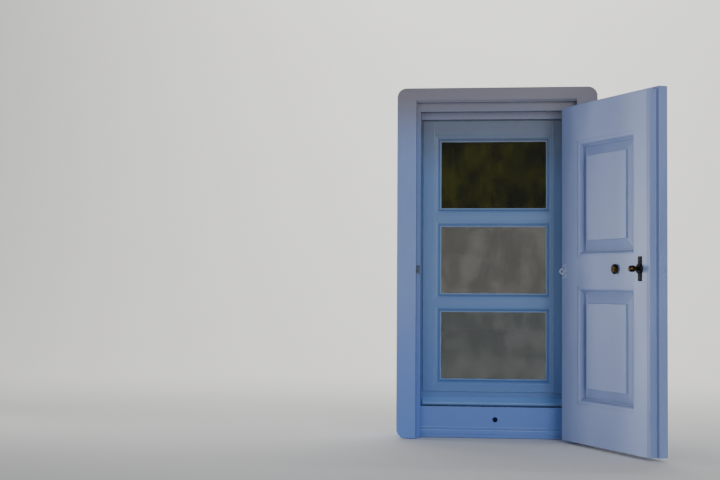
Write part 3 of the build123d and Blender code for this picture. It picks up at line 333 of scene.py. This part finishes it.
def brushed_paint(name, paint, turn, head=None, foot_light=None, front=None, head_shade_from=0.60, dust_and_shade=0.30,
                  grime_and_shade=LEDGE_GRIME_AND_SHADE, highlight=0.45, roughness=(0.36, 0.52)):
    """Oil paint brushed along one direction, which the turn brings onto Z."""
    made, tree, shader, place = material(name)
    along = add(tree, "ShaderNodeMapping", vector_type="POINT")
    along.inputs["Rotation"].default_value = turn
    tree.links.new(place, along.inputs["Vector"])
    marks = group_in(tree, BRUSH_MARKS, along.outputs[0])
    film, ridges = marks.outputs["Film"], marks.outputs["Ridges"]
    colour = blend_colour(tree, weighted_sum(tree, film, 0.60, ridges, 0.22), *paint)
    # Painted light and shade mixed into the paint: grey shade up high, bluer light low down, pale
    # light on the leaf
    light_tints = group_in(tree, PAINTED_LIGHT_GRADIENTS, place, Height=head_shade_from)
    for part, tint in (("Foot_light", foot_light), ("Head", head), ("Front", front)):
        if tint:
            colour = blend_colour(tree, light_tints.outputs[part], colour, tint)
    # Darkening of faces that look up: dirt, with painted shade for light that comes from below
    settled_and_shaded = group_in(tree, LEDGE_DUST_AND_SHADE, place, Amount=dust_and_shade)
    colour = blend_colour(tree, settled_and_shaded.outputs["Dust"], colour, grime_and_shade)
    # Painted highlight along the eased arrises
    rubbed = group_in(tree, ARRIS_HIGHLIGHTS, place, Amount=highlight)
    colour = blend_colour(tree, rubbed.outputs["Rubbed"], colour, ARRIS_PAINTED_HIGHLIGHT)
    tree.links.new(colour, shader.inputs["Base Color"])
    gloss = combine(tree, "ADD", spread(tree, film, 0.0, 1.0, *roughness),
                    combine(tree, "MULTIPLY", settled_and_shaded.outputs["Dust"], 0.3))
    tree.links.new(gloss, shader.inputs["Roughness"])
    roughen(tree, shader, weighted_sum(tree, ridges, 0.7, film, 0.8), 0.00022, 0.55)
    return made


def aged_metal(name, colours, roughness, blotches, metallic=1.0, specular=0.5):
    """Cast or turned metal under a blotchy film; at no metallic, the paint over it."""
    made, tree, shader, place = material(name)
    marks = group_in(tree, BLOTCHY_FILM, place, Blotches=blotches)
    film, scratches = marks.outputs["Film"], marks.outputs["Scratches"]
    tree.links.new(blend_colour(tree, film, *colours), shader.inputs["Base Color"])
    shader.inputs["Metallic"].default_value = metallic
    shader.inputs["Specular IOR Level"].default_value = specular
    gloss = combine(tree, "ADD", spread(tree, film, 0.0, 1.0, *roughness),
                    combine(tree, "MULTIPLY", scratches, 0.06))
    tree.links.new(gloss, shader.inputs["Roughness"])
    height = combine(tree, "ADD", film, combine(tree, "MULTIPLY", scratches, 0.3))
    roughen(tree, shader, height, 0.00008, 0.6)
    return made


def leaf_screw_finish(painted, bare):
    """Screws painted over with the leaf, and left bare and dark on the latch plate."""
    made, tree, shader, place = material("leaf screws")
    reach = distance_along(tree, place, LEAF_WAY)
    on_plate = combine(tree, "MULTIPLY", spread(tree, reach, *PLATE_START_SPAN),
                       spread(tree, reach, *PLATE_END_SPAN, 1.0, 0.0))
    tree.links.new(blend_colour(tree, on_plate, painted, bare), shader.inputs["Base Color"])
    tree.links.new(spread(tree, on_plate, 0.0, 1.0, 0.45, 0.6), shader.inputs["Roughness"])
    shader.inputs["Specular IOR Level"].default_value = 0.25
    return made


def window_glass(name, colours):
    """Glass tinted as painted shade of the room behind, with painted reflection in upright streaks.
    """
    made, tree, shader, place = material(name)
    drawn = add(tree, "ShaderNodeMapping", vector_type="POINT")
    drawn.inputs["Scale"].default_value = (1.0, 1.0, 0.6)
    tree.links.new(place, drawn.inputs["Vector"])
    film = group_in(tree, BLOTCHY_FILM, drawn.outputs[0], Blotches=20.0).outputs["Film"]
    tree.links.new(blend_colour(tree, film, *colours), shader.inputs["Base Color"])
    shader.inputs["Transmission Weight"].default_value = 1.0
    shader.inputs["IOR"].default_value = 1.52
    tree.links.new(spread(tree, film, 0.0, 1.0, 0.004, 0.02), shader.inputs["Roughness"])
    return made


def painted_putty(name, paint):
    """Putty fillet drawn with a knife and painted over."""
    made, tree, shader, place = material(name)
    film = group_in(tree, BLOTCHY_FILM, place, Blotches=45.0).outputs["Film"]
    tree.links.new(blend_colour(tree, film, *paint), shader.inputs["Base Color"])
    tree.links.new(spread(tree, film, 0.0, 1.0, 0.42, 0.60), shader.inputs["Roughness"])
    roughen(tree, shader, film, 0.0005, 0.5)
    return made


UPRIGHT = (0.0, 0.0, 0.0)
LEVEL = (0.0, radians(-90), 0.0)
LEAF_LEVEL = (0.0, radians(-90), -LEAF_TURN)

# Painted light for each part: grey shade above a given height, bluer light at the foot; the sash
# also has no ledge darkening and a stronger arris highlight
CASING_PAINTED_LIGHT = {"head": HEAD_PAINTED_SHADE, "foot_light": CASING_FOOT_PAINTED_LIGHT, "head_shade_from": 0.62}
FRAME_PAINTED_LIGHT = {"head": HEAD_PAINTED_SHADE, "foot_light": FRAME_FOOT_PAINTED_LIGHT, "head_shade_from": 0.62}
SASH_PAINTED_LIGHT = {"head": SASH_HEAD_PAINTED_SHADE, "foot_light": SASH_FOOT_PAINTED_LIGHT, "head_shade_from": 0.57, "dust_and_shade": 0.0, "highlight": 0.8}
casing_upright = brushed_paint("casing paint upright", CASING_BLUE, UPRIGHT, **CASING_PAINTED_LIGHT)
casing_level = brushed_paint("casing paint level", CASING_BLUE, LEVEL, **CASING_PAINTED_LIGHT)
frame_upright = brushed_paint("frame paint upright", FRAME_BLUE, UPRIGHT, **FRAME_PAINTED_LIGHT)
frame_level = brushed_paint("frame paint level", FRAME_BLUE, LEVEL, **FRAME_PAINTED_LIGHT)
# Sill with full ledge darkening: grime and painted shade of the gap under the sash
sill_level = brushed_paint("sill paint", FRAME_BLUE, LEVEL, **FRAME_PAINTED_LIGHT, dust_and_shade=1.0,
                           grime_and_shade=SILL_GRIME_AND_GAP_SHADE)
sash_upright = brushed_paint("sash paint upright", SASH_BLUE_SKY_SHADE, UPRIGHT, **SASH_PAINTED_LIGHT)
sash_level = brushed_paint("sash paint level", SASH_BLUE_SKY_SHADE, LEVEL, **SASH_PAINTED_LIGHT)
# Weather bar in its lighter copy of the sash blue, which is painted light
weather_level = brushed_paint("weather bar paint", WEATHER_BAR_PAINTED_LIGHT, LEVEL, dust_and_shade=0.0)
# Leaf paint with painted light towards its free edge
shutter_upright = brushed_paint("shutter paint upright", SHUTTER_BLUE_WALL_LIGHT, UPRIGHT, front=SHUTTER_PAINTED_LIGHT)
shutter_level = brushed_paint("shutter paint level", SHUTTER_BLUE_WALL_LIGHT, LEAF_LEVEL, front=SHUTTER_PAINTED_LIGHT)

# Each pane with its own painted shade and painted reflection
lower_glass = window_glass("lower pane glass", LOWER_PANE_SHADE_AND_REFLECTION)
middle_glass = window_glass("middle pane glass", MIDDLE_PANE_SHADE_AND_REFLECTION)
upper_glass = window_glass("upper pane glass", UPPER_PANE_SHADE_AND_REFLECTION)
putty = painted_putty("painted putty", PUTTY_GREY)

PAINTED_OVER = {"roughness": (0.38, 0.55), "blotches": 220.0, "metallic": 0.0}
painted_iron = aged_metal("painted iron", SASH_BLUE_SKY_SHADE[::-1], **PAINTED_OVER)
shutter_iron = aged_metal("shutter hinge paint", CASING_BLUE[::-1], **PAINTED_OVER)
leaf_iron = aged_metal("leaf iron paint", SHUTTER_BLUE_WALL_LIGHT[::-1], **PAINTED_OVER)
keeper_iron = aged_metal("keeper iron", KEEPER_IRON, (0.45, 0.62), 300.0, metallic=0.0)
painted_eye = aged_metal("painted eye", EYE_PAINT, (0.34, 0.52), 260.0, metallic=0.0)
leaf_screws = leaf_screw_finish(SHUTTER_BLUE_WALL_LIGHT[1], BARE_SCREW)
dull_steel = aged_metal("dull steel", STEEL, (0.35, 0.6), 500.0)
black_iron = aged_metal("black iron", BLACK_IRON, (0.4, 0.65), 300.0)
brown_brass = aged_metal("browned brass", BROWN_BRASS, (0.45, 0.62), 260.0, metallic=0.0,
                         specular=0.12)
rubbed_brass = aged_metal("rubbed brass", RUBBED_BRASS, (0.16, 0.34), 240.0)
satin_brass = aged_metal("satin brass", SATIN_BRASS, (0.3, 0.5), 120.0)

FINISHES = {
    casing_upright: ["casing_left", "casing_right"],
    casing_level: ["casing_head"],
    frame_upright: ["jamb_left", "jamb_right"],
    frame_level: ["head"],
    sill_level: ["sill"],
    sash_upright: ["sash_stile_left", "sash_stile_right", "sash_pull"],
    sash_level: ["sash_top_rail", "sash_bottom_rail", "glazing_bar_lower", "glazing_bar_upper"],
    weather_level: ["weather_bar"],
    shutter_upright: ["shutter_stile_hinge", "shutter_stile_lock", "shutter_panel_lower",
                      "shutter_panel_upper"],
    shutter_level: ["shutter_top_rail", "shutter_lock_rail", "shutter_bottom_rail"],
    lower_glass: ["pane_lower"],
    middle_glass: ["pane_middle"],
    upper_glass: ["pane_upper"],
    putty: ["putty_lower", "putty_middle", "putty_upper"],
    painted_iron: ["sash_hinge_fixed_lower", "sash_hinge_fixed_upper", "sash_hinge_moving_lower",
                   "sash_hinge_moving_upper", "sash_hinge_pin_lower", "sash_hinge_pin_upper"],
    shutter_iron: ["shutter_hinge_fixed_lower", "shutter_hinge_fixed_upper",
                   "shutter_hinge_moving_lower", "shutter_hinge_moving_upper",
                   "shutter_hinge_pin_lower", "shutter_hinge_pin_upper"],
    keeper_iron: ["latch_keeper"],
    leaf_iron: ["latch_forend", "latch_bolt"],
    leaf_screws: ["shutter_screws"],
    painted_eye: ["stay_eye"],
    dull_steel: ["frame_screws", "sash_screws", "turn_button_pivot"],
    black_iron: ["latch_case", "latch_hub", "latch_spindle"],
    brown_brass: ["latch_plate"],
    rubbed_brass: ["pull_knob", "latch_knob"],
    satin_brass: ["turn_button"],
}
FINISH_OF = {node: finish for finish, nodes in FINISHES.items() for node in nodes}
for node, finish in FINISH_OF.items():
    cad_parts[node].material_slots[0].material = finish


# Woodwork with eased arrises, in place of the sharp nodes

def surface_of(node):
    """Merged copy of a node's mesh."""
    mesh = bmesh.new()
    mesh.from_mesh(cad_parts[node].data)
    bmesh.ops.remove_doubles(mesh, verts=mesh.verts, dist=MERGED)
    return mesh


def search_tree(node):
    """Search over a node's surface for the point nearest to a spot."""
    mesh = surface_of(node)
    tree = BVHTree.FromBMesh(mesh)
    mesh.free()
    return tree


def breadth(face):
    """How wide a long facet is."""
    return face.calc_area() / max(edge.calc_length() for edge in face.edges)


def free_arrises(mesh, neighbours):
    """Sharp edges between broad faces, apart from those that lie against a neighbour."""
    narrow = {face for face in mesh.faces if breadth(face) < 4 * ARRIS}
    found = []
    for edge in mesh.edges:
        if not edge.is_manifold or edge.calc_length() < 8 * ARRIS:
            continue
        if edge.calc_face_angle() < SHARP_ANGLE or narrow & set(edge.link_faces):
            continue
        start, end = (vert.co for vert in edge.verts)
        spots = [start.lerp(end, part) for part in (0.2, 0.5, 0.8)]
        if not any(tree.find_nearest(spot, FLUSH)[0] for tree in neighbours for spot in spots):
            found.append(edge)
    return found


def eased(node, body, finish, neighbours):
    """The node with its free arrises rounded over; edges that meet a neighbour stay flush."""
    mesh = surface_of(node)
    bmesh.ops.dissolve_limit(mesh, angle_limit=FLAT_ANGLE, verts=mesh.verts, edges=mesh.edges)
    mark = mesh.faces.layers.float.new(ARRIS_MARK)
    worked = bmesh.ops.bevel(mesh, geom=free_arrises(mesh, neighbours), affect="EDGES",
                             offset=ARRIS, offset_type="OFFSET", segments=2, profile=0.5,
                             material=-1, clamp_overlap=False)
    for face in worked["faces"]:
        face[mark] = 1.0
    low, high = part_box(node)
    for vert in mesh.verts:
        vert.co = [min(max(vert.co[i], low[i]), high[i]) for i in range(3)]
    curved = {face for face in mesh.faces if breadth(face) < 4 * ARRIS}
    for face in mesh.faces:
        face.smooth = True
    for edge in mesh.edges:
        bent = edge.is_manifold and edge.calc_face_angle() < ROUND_ANGLE
        edge.smooth = bool(bent and set(edge.link_faces) <= curved)
    bmesh.ops.triangulate(mesh, faces=[face for face in mesh.faces if len(face.verts) > 4])
    data = bpy.data.meshes.new("eased_" + node)
    mesh.to_mesh(data)
    mesh.free()
    piece = bpy.data.objects.new("eased_" + node, data)
    bpy.context.scene.collection.objects.link(piece)
    data.materials.append(finish)
    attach(piece, body)
    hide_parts(node)


# Body by body, since only pieces of one body lie flush: the slot and nodes of its woodwork
WOODWORK = {
    "frame": {"casing_paint": ["casing_left", "casing_right", "casing_head"],
              "frame_paint": ["jamb_left", "jamb_right", "head", "sill"]},
    "sash": {"sash_paint": ["sash_stile_left", "sash_stile_right", "sash_top_rail",
                            "sash_bottom_rail", "glazing_bar_lower", "glazing_bar_upper",
                            "weather_bar"]},
    "shutter": {"shutter_paint": ["shutter_stile_hinge", "shutter_stile_lock",
                                  "shutter_top_rail", "shutter_lock_rail",
                                  "shutter_bottom_rail", "shutter_panel_lower",
                                  "shutter_panel_upper"]},
}
for body, slots in WOODWORK.items():
    surfaces = {node: search_tree(node) for nodes in slots.values() for node in nodes}
    for slot, nodes in slots.items():
        for node in nodes:
            others = [surfaces[other] for other in surfaces if other != node]
            eased(node, body, FINISH_OF[node], others)


# Floor and backdrop in one pale sweep, the lights and the camera

FLOOR_REACH = 5.0
BACKDROP_HEIGHT = 6.0
SWEEP_CURVE = 1.6
SWEEP_PLACE = (0, -1.5, -0.001)
PLASTER = ((0.82, 0.81, 0.79, 1), (0.86, 0.85, 0.83, 1))


def sweep():
    """Floor that curves up into a backdrop far behind the window."""
    mesh = bmesh.new()
    bmesh.ops.create_grid(mesh, x_segments=1, y_segments=1, size=FLOOR_REACH)
    back = [edge for edge in mesh.edges if all(vert.co.y > 0 for vert in edge.verts)]
    raised = bmesh.ops.extrude_edge_only(mesh, edges=back)["geom"]
    top = [part for part in raised if isinstance(part, bmesh.types.BMVert)]
    bmesh.ops.translate(mesh, vec=(0, 0, BACKDROP_HEIGHT), verts=top)
    bmesh.ops.bevel(mesh, geom=back, affect="EDGES", offset=SWEEP_CURVE, segments=24, profile=0.5,
                    material=-1)
    bmesh.ops.translate(mesh, vec=SWEEP_PLACE, verts=mesh.verts)
    for face in mesh.faces:
        face.smooth = True
    data = bpy.data.meshes.new("backdrop")
    mesh.to_mesh(data)
    mesh.free()
    floor = bpy.data.objects.new("backdrop", data)
    bpy.context.scene.collection.objects.link(floor)
    made, tree, shader, place = material("pale plaster")
    grain = noise(tree, place, Scale=3.0, Detail=3.0)
    tree.links.new(blend_colour(tree, grain.outputs["Fac"], *PLASTER), shader.inputs["Base Color"])
    shader.inputs["Roughness"].default_value = 0.9
    data.materials.append(made)


def lamp(name, place, target, size, watts, colour, spread_angle=180, mirrored=True):
    """Soft rectangular light at a place, turned towards a target; a small spread makes a beam."""
    data = bpy.data.lights.new(name, "AREA")
    data.shape = "RECTANGLE"
    data.size, data.size_y = size
    data.energy = watts
    data.color = colour
    data.spread = radians(spread_angle)
    light = bpy.data.objects.new(name, data)
    light.location = place
    light.visible_camera = False
    light.visible_glossy = mirrored
    light.rotation_euler = (Vector(target) - Vector(place)).to_track_quat("-Z", "Y").to_euler()
    bpy.context.scene.collection.objects.link(light)


sweep()
lamp("low beam from the left", place=(-1.75, 0.17, 0.36), target=(0.27, -0.30, 0.42),
     size=(0.5, 0.9), watts=3.5, colour=(1.0, 0.99, 0.98), spread_angle=70)
lamp("soft left front", place=(-1.3, -2.5, 0.5), target=(0.0, 0.0, 0.35),
     size=(0.8, 1.0), watts=6, colour=(1.0, 0.92, 0.86))
lamp("low board in front", place=(0.2, -1.5, 0.04), target=(0.0, 0.0, 0.45),
     size=(1.8, 0.6), watts=5, colour=(0.80, 0.92, 1.0), mirrored=False)
lamp("broad right front", place=(1.15, -2.8, 0.9), target=(0.02, 0.0, 0.37),
     size=(1.3, 1.4), watts=30, colour=(0.97, 0.98, 1.0))
lamp("backdrop light", place=(0.0, 1.3, 2.9), target=(0.0, 3.4, 1.2),
     size=(3.0, 1.0), watts=130, colour=(1.0, 0.99, 0.97))

world = bpy.data.worlds.new("soft daylight")
world.use_nodes = True
sky = world.node_tree.nodes["Background"]
sky.inputs["Color"].default_value = (0.86, 0.92, 1.0, 1)
sky.inputs["Strength"].default_value = 0.24
bpy.context.scene.world = world

# Camera fitted to the photo: focal length in pixels of its width, place in metres, in radians
# how far it is turned to the left, tilted up and rolled
PHOTO_WIDTH = 720
FOCAL = 1358.1
SENSOR_WIDTH = 36.0
EYE = (0.02597, -2.94657, 0.32891)
YAW, PITCH, ROLL = 0.10926, 0.03180, 0.00489
ahead = Vector((-sin(YAW) * cos(PITCH), cos(YAW) * cos(PITCH), sin(PITCH)))
level = ahead.cross(Vector((0, 0, 1))).normalized()
above = level.cross(ahead)
right = level * cos(ROLL) + above * sin(ROLL)
up = above * cos(ROLL) - level * sin(ROLL)
camera_data = bpy.data.cameras.new("photo camera")
camera_data.sensor_width = SENSOR_WIDTH
camera_data.lens = FOCAL * SENSOR_WIDTH / PHOTO_WIDTH
camera_data.clip_start = 0.05
camera = bpy.data.objects.new("photo camera", camera_data)
camera.matrix_world = Matrix((
    (right.x, up.x, -ahead.x, EYE[0]), (right.y, up.y, -ahead.y, EYE[1]),
    (right.z, up.z, -ahead.z, EYE[2]), (0, 0, 0, 1)))
bpy.context.scene.collection.objects.link(camera)
bpy.context.scene.camera = camera
